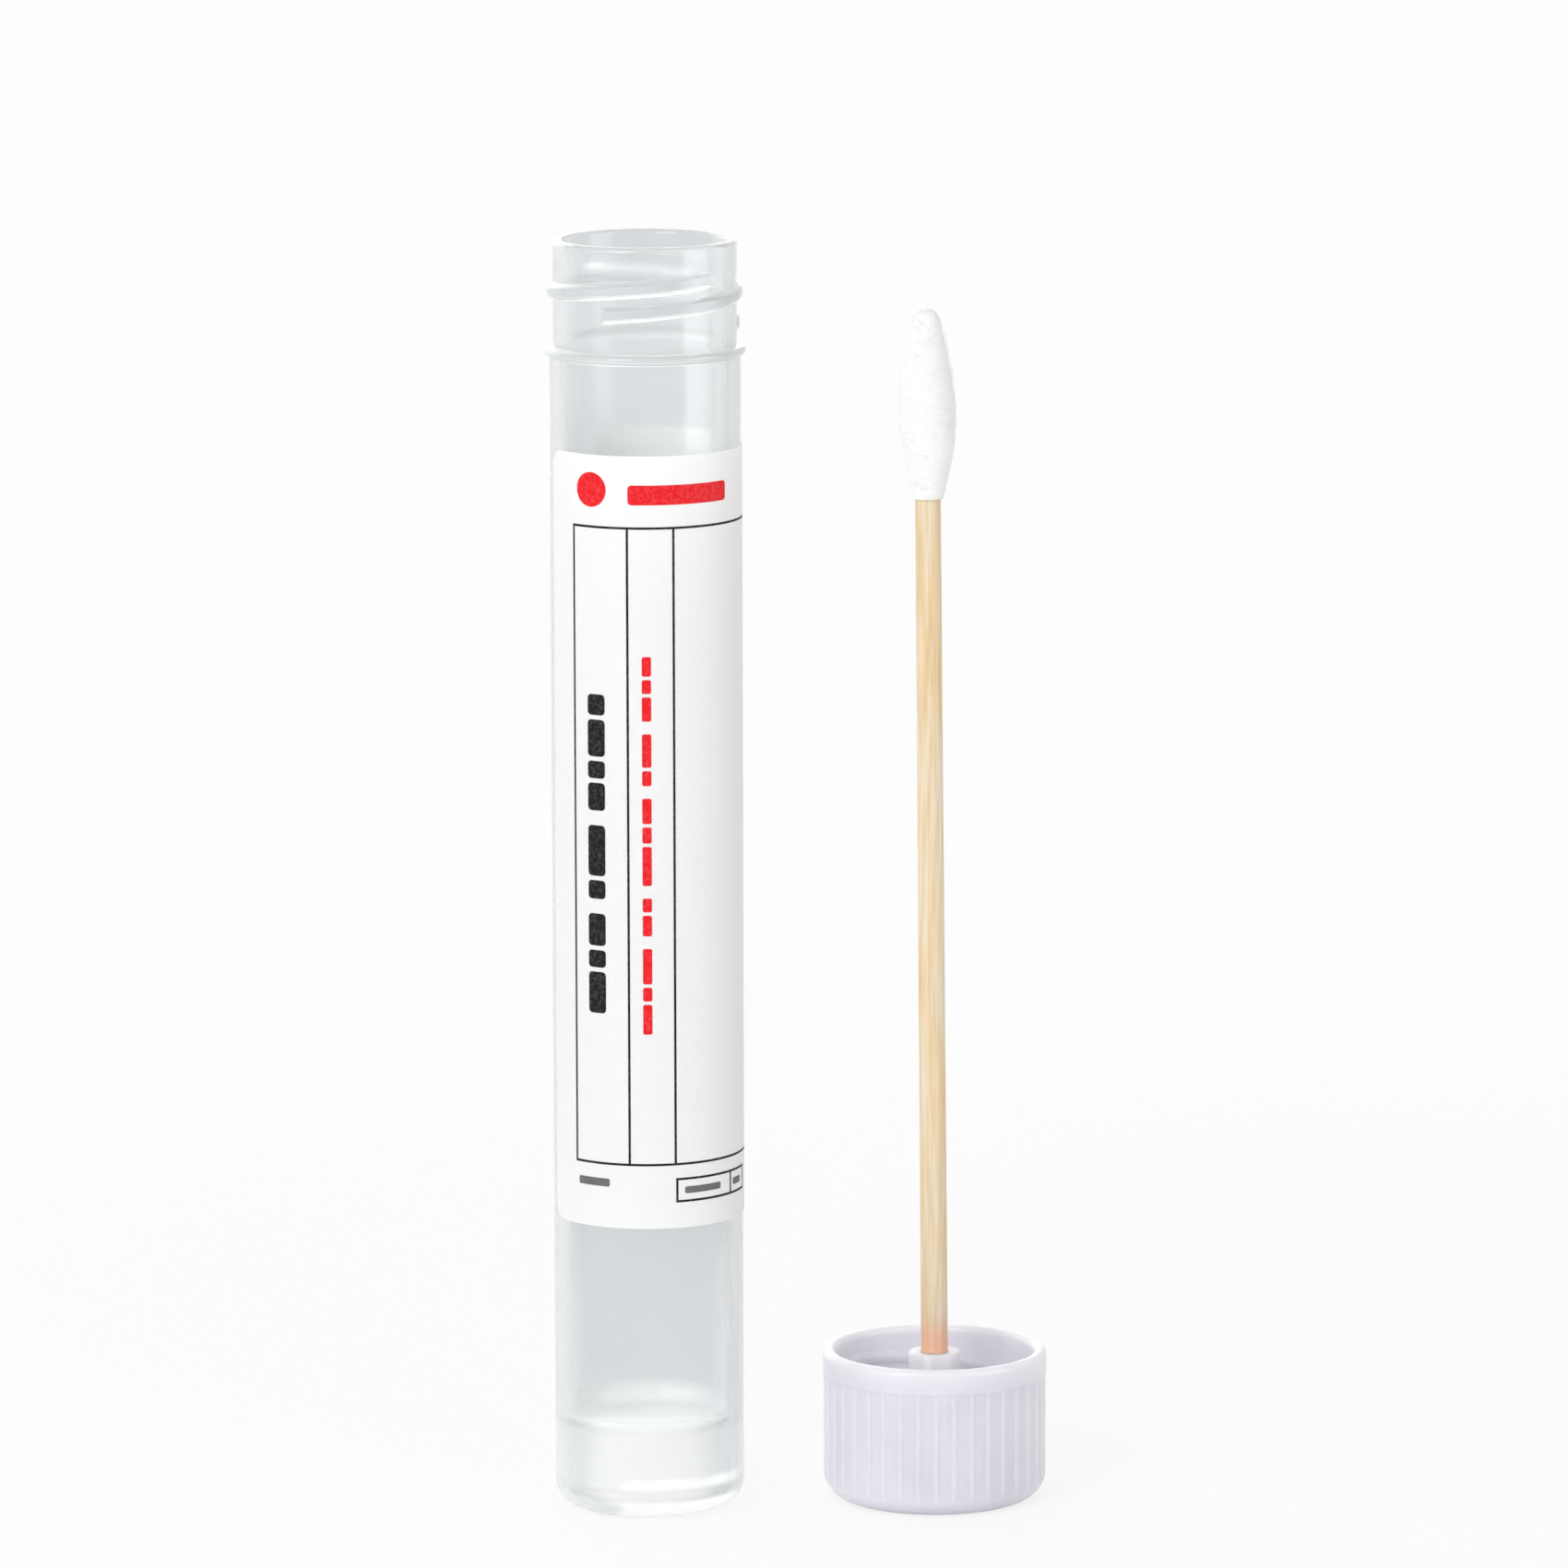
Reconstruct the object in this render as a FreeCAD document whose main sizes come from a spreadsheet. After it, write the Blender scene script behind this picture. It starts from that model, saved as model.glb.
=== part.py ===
import FreeCAD, Part
import math
import os
import Sketcher
from FreeCAD import Placement, Rotation, Vector

# Specimen swab tube, opened: the clear tube with its wrapped label stands on the bench, and
# beside it the screw cap stands on its flat top with the swab pointing up out of its boss.
# Millimetres. The origin is the centre of the tube's foot, +Z is up and +X runs to the cap.
#
# Sub-parts, each a PartDesign body that becomes one file in parts/:
#   tube        one injection moulding: thick flat base, bore, stop bead, two-start neck thread
#   label       paper label that wraps most of the way round the tube
#   cap         one injection moulding: ribbed skirt, collar, inner two-start thread, seat, boss
#   stick       wooden applicator, pressed into the cap's boss
#   cotton_bud  cotton wound on the end of the stick

DRIVING = {
    # tube
    "tube_height": 111.2,
    "body_dia": 16.5,
    "neck_dia": 15.84,
    "bore_dia": 14.1,
    "floor_height": 7.2,
    "floor_bevel": 1.2,
    "base_round": 2.3,
    "foot_dia": 10.6,
    "foot_dish": 0.35,
    "rim_bevel": 0.3,
    "bead_height": 101.6,
    "bead_dia": 17.36,
    "bead_thick": 0.8,
    "bead_bevel": 0.25,
    # neck thread, right-handed with two starts
    "thread_lead": 4.1,
    "thread_starts": 2,
    "thread_low": 105.33,
    "thread_span": 265,
    "thread_start_turn": -116.8,
    "thread_crest_dia": 16.8,
    "thread_root_width": 1.35,
    "thread_crest_width": 0.85,
    # stop lug on the neck, below the thread
    "lug_low": 103.3,
    "lug_high": 104.8,
    "lug_reach": 0.3,
    "lug_width": 2.4,
    # label
    "label_low": 26.1,
    "label_high": 93.4,
    "label_thick": 0.08,
    "label_wrap": 289.5,
    "label_start_turn": -161,
    "label_corner": 1.5,
    # cap, standing on its closed end
    "cap_across": 24.95,
    "cap_back": 2.24,
    "cap_dia": 19.6,
    "cap_height": 13.25,
    "cap_bore_dia": 17.3,
    "cap_seat_height": 4.4,
    "cap_well_dia": 13.8,
    "cap_floor_thick": 1.6,
    "cap_edge_round": 2.3,
    "lip_bevel": 0.35,
    "collar_height": 2.15,
    "rib_count": 38,
    "rib_width": 0.34,
    "rib_depth": 0.24,
    "cap_thread_low": 8.95,
    "cap_thread_span": 205,
    "cap_thread_start_turn": -20,
    "cap_thread_crest_dia": 16.26,
    "cap_thread_root_width": 1.1,
    "cap_thread_crest_width": 0.6,
    "boss_dia": 4.5,
    "boss_height": 12.9,
    # swab
    "stick_dia": 2.3,
    "stick_grip": 8.5,
    "stick_reach": 87.5,
    "stick_lean": 0.45,
    "bud_foot": 75.4,
    "bud_waist": 82.8,
    "bud_shoulder": 90.7,
    "bud_foot_dia": 2.64,
    "bud_dia": 4.88,
    "bud_nose_dia": 2.36,
    "bud_upper_bow": 33,
    # how far a feature starts inside the wall that carries it, so that the two fuse
    "sunk": 0.3,
}

doc = FreeCAD.newDocument("swab_tube")


def make_sheet(values):
    """The spreadsheet that drives every sub-part: one aliased cell per dimension."""
    sheet = doc.addObject("Spreadsheet::Sheet", "Sizes")
    for row, (alias, value) in enumerate(values.items(), start=1):
        sheet.set(f"A{row}", alias)
        sheet.set(f"B{row}", str(value))
        sheet.setAlias(f"B{row}", alias)
    doc.recompute()
    return sheet


sheet = make_sheet(DRIVING)


def cell(text):
    """An expression for setExpression: every bare alias in the text becomes a sheet cell."""
    words = sorted((alias for alias in DRIVING if alias in text), key=len, reverse=True)
    marks = {}
    for index, alias in enumerate(words):
        mark = f"@{index}@"
        text = text.replace(alias, mark)
        marks[mark] = f"Sizes.{alias}"
    for mark, name in marks.items():
        text = text.replace(mark, name)
    return text


def origin_feature(body, role):
    """A plane or axis of the body's own origin, found by its role."""
    return next(item for item in body.Origin.OriginFeatures if item.Role == role)


def make_body(name):
    body = doc.addObject("PartDesign::Body", name)
    body.Label = name
    return body


def attach(body, name, plane, turn=None, raise_to=None, centre_on=None):
    """A sketch on one of the body's origin planes; the options are expressions.

    turn, in degrees about +Z, swings an upright sketch round the body's axis. raise_to lifts a
    level sketch, and centre_on is the width that it draws from 0 up, to be centred on the X axis.
    """
    sketch = body.newObject("Sketcher::SketchObject", name)
    sketch.AttachmentSupport = [(origin_feature(body, plane), "")]
    sketch.MapMode = "FlatFace"
    if turn is not None:
        sketch.AttachmentOffset = Placement(Vector(), Rotation(Vector(0, 1, 0), 1))
        sketch.setExpression("AttachmentOffset.Rotation.Angle", cell(turn))
    if raise_to is not None:
        sketch.setExpression("AttachmentOffset.Base.z", cell(raise_to))
    if centre_on is not None:
        sketch.setExpression("AttachmentOffset.Base.y", cell(f"-({centre_on}) / 2"))
    return sketch


def pin_point(sketch, edge, end, across, up):
    """Hold one sketch point at (across, up), each an expression, or None on the axis."""
    for kind, axis, expression in (("DistanceX", -2, across), ("DistanceY", -1, up)):
        if expression is None:
            sketch.addConstraint(Sketcher.Constraint("PointOnObject", edge, end, axis))
            continue
        value = sheet_value(expression)
        number = sketch.addConstraint(Sketcher.Constraint(kind, -1, 1, edge, end, value))
        sketch.setExpression(f"Constraints[{number}]", cell(expression))


def sheet_value(expression):
    """What an expression of aliases comes to with the sheet's present values."""
    result = sheet.evalExpression(cell(expression))
    return float(getattr(result, "Value", result))


def place(across, up):
    return Vector(0 if across is None else sheet_value(across), 0 if up is None else sheet_value(up), 0)


def closed_outline(sketch, corners, bows=None):
    """A closed outline through the corners, given as (across, up) expressions.

    bows maps a side's number to the expression for its radius, which makes it an arc that
    bulges to the right of its own direction; the other sides are straight.
    """
    bows = bows or {}
    spots = [place(*corner) for corner in corners]
    count = len(corners)
    for side, start in enumerate(spots):
        end = spots[(side + 1) % count]
        if side in bows:
            sketch.addGeometry(bowed_arc(start, end, sheet_value(bows[side])), False)
        else:
            sketch.addGeometry(Part.LineSegment(start, end), False)
    for side in range(count):
        after = (side + 1) % count
        sketch.addConstraint(Sketcher.Constraint("Coincident", side, 2, after, 1))
        pin_point(sketch, side, 1, *corners[side])
    for side, radius in bows.items():
        number = sketch.addConstraint(Sketcher.Constraint("Radius", side, sheet_value(radius)))
        sketch.setExpression(f"Constraints[{number}]", cell(radius))
    doc.recompute()
    return sketch


def bowed_arc(start, end, radius):
    """The short arc of that radius from start to end, bulging to the right of the way."""
    chord = end - start
    half = chord.Length / 2
    rightward = Vector(chord.y, -chord.x, 0).normalize()
    sagitta = radius - math.sqrt(radius * radius - half * half)
    return Part.Arc(start, (start + end) * 0.5 + rightward * sagitta, end)


def revolve(body, name, sketch, kind="PartDesign::Revolution", angle=None):
    feature = body.newObject(kind, name)
    feature.Profile = sketch
    feature.ReferenceAxis = (sketch, ["V_Axis"])
    feature.Angle = 360
    if angle is not None:
        feature.setExpression("Angle", cell(angle))
    sketch.Visibility = False
    doc.recompute()
    return feature


def ring_edges(shape, radius, height):
    """Names of the round edges of that radius about Z at that height."""
    names = []
    for number, edge in enumerate(shape.Edges, start=1):
        curve = edge.Curve
        round_edge = isinstance(curve, Part.Circle) and abs(curve.Radius - radius) < 1e-4
        if round_edge and abs(curve.Center.z - height) < 1e-4:
            names.append(f"Edge{number}")
    if not names:
        raise ValueError(f"no round edge of radius {radius} at height {height}")
    return names


def dress(body, kind, name, edges, size):
    """A fillet or chamfer on named edges of the body's tip, sized by an expression."""
    base = body.Tip
    feature = body.newObject(f"PartDesign::{kind}", name)
    feature.Base = (base, edges)
    prop = "Radius" if kind == "Fillet" else "Size"
    feature.setExpression(prop, cell(size))
    doc.recompute()
    return feature


def dress_ring(body, kind, name, radius, height, size):
    """Dress the body's round edge of that radius and height, where None is the ground."""
    level = 0 if height is None else sheet_value(height)
    edges = ring_edges(body.Tip.Shape, sheet_value(radius), level)
    return dress(body, kind, name, edges, size)


def pattern(body, name, feature, count):
    """Repeat a feature evenly about the body's Z axis."""
    polar = body.newObject("PartDesign::PolarPattern", name)
    polar.Originals = [feature]
    polar.Axis = (origin_feature(body, "Z_Axis"), [""])
    polar.Angle = 360
    polar.setExpression("Occurrences", cell(count))
    body.Tip = polar
    doc.recompute()
    return polar


def thread(body, name, turn, low, root, crest, root_width, crest_width, span):
    """A two-start thread: one ridge swept along a helix from its profile, then repeated.

    root and crest are radii. The root lies inside the wall, on whichever side that is.
    """
    profile = attach(body, f"{name}Profile", "XZ_Plane", turn=turn)
    closed_outline(profile, [
        (root, f"{low} - {root_width} / 2"),
        (crest, f"{low} - {crest_width} / 2"),
        (crest, f"{low} + {crest_width} / 2"),
        (root, f"{low} + {root_width} / 2"),
    ])
    ridge = body.newObject("PartDesign::AdditiveHelix", name)
    ridge.Profile = profile
    ridge.ReferenceAxis = (profile, ["V_Axis"])
    ridge.Mode = "pitch-turns-angle"
    ridge.setExpression("Pitch", cell("thread_lead"))
    ridge.setExpression("Turns", cell(f"{span} / 360"))
    profile.Visibility = False
    doc.recompute()
    return pattern(body, f"{name}Starts", ridge, "thread_starts")


# ---------------------------------------------------------------------------------------
# Tube: revolved section with a thick flat base that is dished underneath, a plain bore,
# a narrower neck with the stop bead below it and a two-start thread, and a small stop lug.
# ---------------------------------------------------------------------------------------
def make_tube():
    body = make_body("tube")
    section = attach(body, "TubeSection", "XZ_Plane")
    closed_outline(section, [
        (None, "foot_dish"),
        ("foot_dia / 2 - foot_dish", "foot_dish"),
        ("foot_dia / 2", None),
        ("body_dia / 2", None),
        ("body_dia / 2", "bead_height - bead_thick / 2"),
        ("bead_dia / 2", "bead_height - bead_thick / 2"),
        ("bead_dia / 2", "bead_height + bead_thick / 2"),
        ("neck_dia / 2", "bead_height + bead_thick / 2"),
        ("neck_dia / 2", "tube_height"),
        ("bore_dia / 2", "tube_height"),
        ("bore_dia / 2", "floor_height"),
        (None, "floor_height"),
    ])
    revolve(body, "TubeTurned", section)
    rim = "tube_height"
    under = "bead_height - bead_thick / 2"
    over = "bead_height + bead_thick / 2"
    dress_ring(body, "Fillet", "BaseRound", "body_dia / 2", None, "base_round")
    dress_ring(body, "Chamfer", "FloorBevel", "bore_dia / 2", "floor_height", "floor_bevel")
    dress_ring(body, "Chamfer", "BeadUnder", "bead_dia / 2", under, "bead_bevel")
    dress_ring(body, "Chamfer", "BeadOver", "bead_dia / 2", over, "bead_bevel")
    dress_ring(body, "Chamfer", "RimOutside", "neck_dia / 2", rim, "rim_bevel")
    dress_ring(body, "Chamfer", "RimInside", "bore_dia / 2", rim, "rim_bevel")

    thread(body, "NeckThread", turn="thread_start_turn", low="thread_low",
           root="neck_dia / 2 - sunk", crest="thread_crest_dia / 2",
           root_width="thread_root_width", crest_width="thread_crest_width", span="thread_span")

    lug = attach(body, "LugPlan", "XY_Plane", raise_to="lug_low", centre_on="lug_width")
    closed_outline(lug, [
        ("neck_dia / 2 - sunk", None),
        ("neck_dia / 2 + lug_reach", None),
        ("neck_dia / 2 + lug_reach", "lug_width"),
        ("neck_dia / 2 - sunk", "lug_width"),
    ])
    block = body.newObject("PartDesign::Pad", "StopLug")
    block.Profile = lug
    block.setExpression("Length", cell("lug_high - lug_low"))
    lug.Visibility = False
    doc.recompute()
    return body


# ---------------------------------------------------------------------------------------
# Label: a thin band of paper with rounded corners, bent round the tube's outside. Its corners
# are rounded on a thicker band, whose inside is then turned out to the tube's surface.
# ---------------------------------------------------------------------------------------
def make_label():
    body = make_body("label")
    backing = "body_dia / 2 - sunk"
    section = attach(body, "LabelSection", "XZ_Plane", turn="label_start_turn")
    closed_outline(section, [
        (backing, "label_low"),
        ("body_dia / 2 + label_thick", "label_low"),
        ("body_dia / 2 + label_thick", "label_high"),
        (backing, "label_high"),
    ])
    band = revolve(body, "LabelBand", section, angle="label_wrap")
    corners = [
        f"Edge{number}" for number, edge in enumerate(band.Shape.Edges, start=1)
        if abs(edge.Length - sheet_value("label_thick + sunk")) < 1e-6
    ]
    dress(body, "Fillet", "LabelCorners", corners, "label_corner")

    inside = attach(body, "LabelInside", "XZ_Plane")
    closed_outline(inside, [
        ("neck_dia / 4", "label_low - label_corner"),
        ("body_dia / 2", "label_low - label_corner"),
        ("body_dia / 2", "label_high + label_corner"),
        ("neck_dia / 4", "label_high + label_corner"),
    ])
    revolve(body, "LabelTurnedOut", inside, kind="PartDesign::Groove")
    return body


# ---------------------------------------------------------------------------------------
# Cap: revolved section with the seat that the tube's rim closes on and the boss that grips
# the stick, ribs left standing between shallow flats below a plain collar, inner thread.
# ---------------------------------------------------------------------------------------
def make_cap():
    body = make_body("cap")
    section = attach(body, "CapSection", "XZ_Plane")
    flat_foot = "cap_edge_round - sqrt(cap_edge_round ^ 2 - (cap_edge_round - rib_depth) ^ 2)"
    closed_outline(section, [
        (None, None),
        ("cap_dia / 2 - cap_edge_round", None),
        ("cap_dia / 2 - rib_depth", flat_foot),
        ("cap_dia / 2", "cap_edge_round"),
        ("cap_dia / 2", "cap_height"),
        ("cap_bore_dia / 2", "cap_height"),
        ("cap_bore_dia / 2", "cap_seat_height"),
        ("cap_well_dia / 2", "cap_seat_height"),
        ("cap_well_dia / 2", "cap_floor_thick"),
        ("boss_dia / 2", "cap_floor_thick"),
        ("boss_dia / 2", "boss_height"),
        (None, "boss_height"),
    ], bows={1: "cap_edge_round"})
    revolve(body, "CapTurned", section)
    dress_ring(body, "Chamfer", "LipOutside", "cap_dia / 2", "cap_height", "lip_bevel")
    dress_ring(body, "Chamfer", "LipInside", "cap_bore_dia / 2", "cap_height", "lip_bevel")

    thread(body, "CapThread", turn="cap_thread_start_turn", low="cap_thread_low",
           root="cap_bore_dia / 2 + sunk", crest="cap_thread_crest_dia / 2",
           root_width="cap_thread_root_width", crest_width="cap_thread_crest_width",
           span="cap_thread_span")

    width = "(3.14159265 * cap_dia / rib_count - rib_width)"
    flat = attach(body, "FlatPlan", "XY_Plane", raise_to="cap_height - collar_height",
                  centre_on=width)
    closed_outline(flat, [
        ("cap_dia / 2 - rib_depth", None),
        ("cap_dia / 2 + rib_depth", None),
        ("cap_dia / 2 + rib_depth", width),
        ("cap_dia / 2 - rib_depth", width),
    ])
    cut = body.newObject("PartDesign::Pocket", "Flat")
    cut.Profile = flat
    cut.Type = "ThroughAll"
    cut.Reversed = False
    flat.Visibility = False
    doc.recompute()
    pattern(body, "Flats", cut, "rib_count")

    hole = attach(body, "StickHole", "XZ_Plane")
    hole.AttachmentOffset = Placement(Vector(), Rotation(Vector(0, 0, 1), 1))
    hole.setExpression("AttachmentOffset.Base.y", cell("boss_height"))
    hole.setExpression("AttachmentOffset.Rotation.Angle", cell("stick_lean"))
    closed_outline(hole, [
        (None, "-1 * stick_grip"),
        ("stick_dia / 2", "-1 * stick_grip"),
        ("stick_dia / 2", "stick_dia"),
        (None, "stick_dia"),
    ])
    revolve(body, "StickSocket", hole, kind="PartDesign::Groove")

    body.setExpression("Placement.Base.x", cell("cap_across"))
    body.setExpression("Placement.Base.y", cell("cap_back"))
    return body


# ---------------------------------------------------------------------------------------
# Swab: the stick is a plain turned rod that leans a little off the cap's axis, and the cotton
# is a spindle wound over its tip. Both are drawn about the stick's own axis, from where it
# leaves the boss.
# ---------------------------------------------------------------------------------------
def seat_on_boss(body):
    """Stand the body where the stick leaves the boss, leaning with the stick."""
    body.Placement = Placement(Vector(), Rotation(Vector(0, -1, 0), 1))
    body.setExpression("Placement.Base.x", cell("cap_across"))
    body.setExpression("Placement.Base.y", cell("cap_back"))
    body.setExpression("Placement.Base.z", cell("boss_height"))
    body.setExpression("Placement.Rotation.Angle", cell("stick_lean"))


def make_stick():
    body = make_body("stick")
    section = attach(body, "StickSection", "XZ_Plane")
    foot = "-1 * stick_grip"
    closed_outline(section, [
        (None, foot),
        ("stick_dia / 2", foot),
        ("stick_dia / 2", "stick_reach"),
        (None, "stick_reach"),
    ])
    revolve(body, "StickTurned", section)
    seat_on_boss(body)
    return body


def make_cotton_bud():
    body = make_body("cotton_bud")
    section = attach(body, "BudSection", "XZ_Plane")
    closed_outline(section, [
        ("stick_dia / 2", "bud_foot"),
        ("bud_foot_dia / 2", "bud_foot"),
        ("bud_dia / 2", "bud_waist"),
        ("bud_nose_dia / 2", "bud_shoulder"),
        (None, "bud_shoulder + bud_nose_dia / 2"),
        (None, "stick_reach"),
        ("stick_dia / 2", "stick_reach"),
    ], bows={2: "bud_upper_bow", 3: "bud_nose_dia / 2"})
    revolve(body, "BudWound", section)
    seat_on_boss(body)
    return body


def check_features():
    """Stop if any feature failed to build or left a bad shape."""
    for item in doc.Objects:
        if "Invalid" in item.State or "Error" in item.State:
            raise RuntimeError(f"{item.Name}: {item.State}")
        shape = getattr(item, "Shape", None)
        if isinstance(item, FreeCAD.GeoFeature) and shape is not None:
            if item.isDerivedFrom("PartDesign::Feature") and (shape.isNull() or not shape.isValid()):
                raise RuntimeError(f"{item.Name}: bad shape")


bodies = [make_tube(), make_label(), make_cap(), make_stick(), make_cotton_bud()]
doc.recompute()
check_features()
os.makedirs("parts", exist_ok=True)
for piece in bodies:
    piece.Shape.exportStep(f"parts/{piece.Label}.step")
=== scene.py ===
import math
import random

import bmesh
import bpy
from mathutils import Matrix, Vector, noise


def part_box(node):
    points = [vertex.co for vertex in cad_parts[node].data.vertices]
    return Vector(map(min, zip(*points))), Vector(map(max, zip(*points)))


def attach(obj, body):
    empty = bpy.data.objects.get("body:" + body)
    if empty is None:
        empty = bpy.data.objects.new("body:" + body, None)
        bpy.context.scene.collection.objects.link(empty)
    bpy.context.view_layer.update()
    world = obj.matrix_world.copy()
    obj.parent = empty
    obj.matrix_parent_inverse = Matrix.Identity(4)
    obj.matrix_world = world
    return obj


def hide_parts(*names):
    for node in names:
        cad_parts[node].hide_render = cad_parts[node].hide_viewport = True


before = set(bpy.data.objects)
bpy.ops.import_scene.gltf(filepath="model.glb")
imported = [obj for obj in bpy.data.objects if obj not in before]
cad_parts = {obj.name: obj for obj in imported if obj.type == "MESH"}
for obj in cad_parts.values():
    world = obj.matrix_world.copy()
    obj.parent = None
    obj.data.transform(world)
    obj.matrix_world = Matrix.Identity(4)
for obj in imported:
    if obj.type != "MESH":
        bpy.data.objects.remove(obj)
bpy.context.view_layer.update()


# ---------------------------------------------------------------------------------------
# Tube: one injection moulding in clear polypropylene, with a thick foot, a straight bore and
# a thinner neck that carries the stop bead, the two-start thread and one small stop lug.
# The whole skin is one closed surface, so that light passes each wall as it does in the part.
# ---------------------------------------------------------------------------------------
mm = 0.001

paper_low, paper_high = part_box("label")
rim_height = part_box("tube")[1].z
paper_radius = paper_high.x
paper_thickness = 0.08 * mm
body_radius = paper_radius - paper_thickness
neck_radius = body_radius - 0.33 * mm
bore_radius = body_radius - 1.2 * mm
floor_height = 7.2 * mm
floor_round = 1.4 * mm
base_round = 2.3 * mm
foot_radius = 5.3 * mm
foot_dish = 0.35 * mm
bead_height = rim_height - 9.6 * mm
bead_radius = 8.68 * mm
bead_half = 0.4 * mm
bead_side = 80  # degrees of its round above and below its middle
under_bead = (0.1 * mm, 0.12 * mm)  # the small slope where the body meets it
over_bead = 0.15 * mm
base_steps = 12
round_steps = 10
neck_steps = 200
tube_columns = 288

thread_lead = 4.1 * mm
thread_start = 2.5  # degrees in which a thread comes up to its full height
neck_thread_low = rim_height - 5.87 * mm
neck_thread_turns = (-116.8, 63.2)
neck_thread_span = 265
neck_thread_run_out = 45
neck_thread_height = 0.48 * mm
neck_thread_root = 1.5 * mm
neck_thread_crest = 0.6 * mm

lug_low = rim_height - 7.9 * mm
lug_high = rim_height - 6.4 * mm
lug_slope = 0.35 * mm
lug_reach = 0.24 * mm
lug_half_turn = 8.5
lug_side = 3

milky_low = 8 * mm
milky_high = 9.8 * mm
wall_haze = (0.06, 0.45)  # face on and at the limb, where 0 is clear and 1 is white
foot_haze = (0.6, 0.3)
thread_haze = 0.4
bead_thickening = 1.5  # against 1 on the thread's crest
wall_holds_back = 0.3  # the share of a lamp's light that full haze stops
foot_holds_back = 1


def arc(across, up, radius, start, end, steps):
    """Points along an arc of an outline, from one angle in degrees to another."""
    turns = [math.radians(start + (end - start) * step / steps) for step in range(steps + 1)]
    return [(across + radius * math.cos(turn), up + radius * math.sin(turn)) for turn in turns]


def rise(low, high, value):
    """0 below low, 1 above high, and a smooth rise between them."""
    share = min(max((value - low) / (high - low), 0), 1)
    return share * share * (3 - 2 * share)


def spun(outline, columns):
    """A closed skin of revolution about Z from (radius, height) points, its poles merged."""
    skin = bmesh.new()
    points = [skin.verts.new((radius, 0, height)) for radius, height in outline]
    edges = [skin.edges.new(pair) for pair in zip(points, points[1:])]
    bmesh.ops.spin(skin, geom=points + edges, cent=(0, 0, 0), axis=(0, 0, 1),
                   angle=2 * math.pi, steps=columns, use_merge=True, use_duplicate=False)
    bmesh.ops.remove_doubles(skin, verts=skin.verts, dist=1e-7)
    bmesh.ops.recalc_face_normals(skin, faces=skin.faces)
    return skin


def thread_ridge(turn, height, low, starts, span, root, crest, run_out):
    """How much of its full height a two-start thread has at a place on the wall, 0 to 1. It
    starts almost square and runs out over its last degrees."""
    share = 0
    for start in starts:
        along = (turn - start) % 360
        centre = low + thread_lead * along / 360
        flank = 1 - rise(crest / 2, root / 2, abs(height - centre))
        ends = rise(0, thread_start, along) * (1 - rise(span - run_out, span, along))
        share = max(share, flank * ends)
    return share


def made_piece(name, skin, material, crease=38):
    """Turn a bmesh into a piece of the object, smooth but for its creases."""
    mesh = bpy.data.meshes.new(name)
    for face in skin.faces:
        face.smooth = True
    skin.to_mesh(mesh)
    skin.free()
    mesh.set_sharp_from_angle(angle=math.radians(crease))
    mesh.materials.append(material)
    piece = bpy.data.objects.new(name, mesh)
    bpy.context.scene.collection.objects.link(piece)
    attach(piece, "root")
    return piece


def paint(hex_colour):
    """The linear colour of an sRGB hex value."""
    shares = [int(hex_colour[place:place + 2], 16) / 255 for place in (1, 3, 5)]
    linear = [share / 12.92 if share <= 0.04045 else ((share + 0.055) / 1.055) ** 2.4
              for share in shares]
    return (*linear, 1)


def new_material(name):
    """An empty material, ready for its nodes."""
    material = bpy.data.materials.new(name)
    material.use_nodes = True
    material.node_tree.nodes.clear()
    return material


def add(material, kind, values=None, links=None, stops=(), **settings):
    """Add one node: settings are its own, values fill its sockets and links feed them.
    Stops are the (place, colour) pairs of a colour ramp."""
    node = material.node_tree.nodes.new(kind)
    for name, value in settings.items():
        setattr(node, name, value)
    for socket, value in (values or {}).items():
        node.inputs[socket].default_value = value
    for socket, source in (links or {}).items():
        material.node_tree.links.new(source, node.inputs[socket])
    for number, (place, colour) in enumerate(stops):
        elements = node.color_ramp.elements
        if number == len(elements):
            elements.new(place)
        elements[number].position = place
        elements[number].color = colour
    return node


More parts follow.
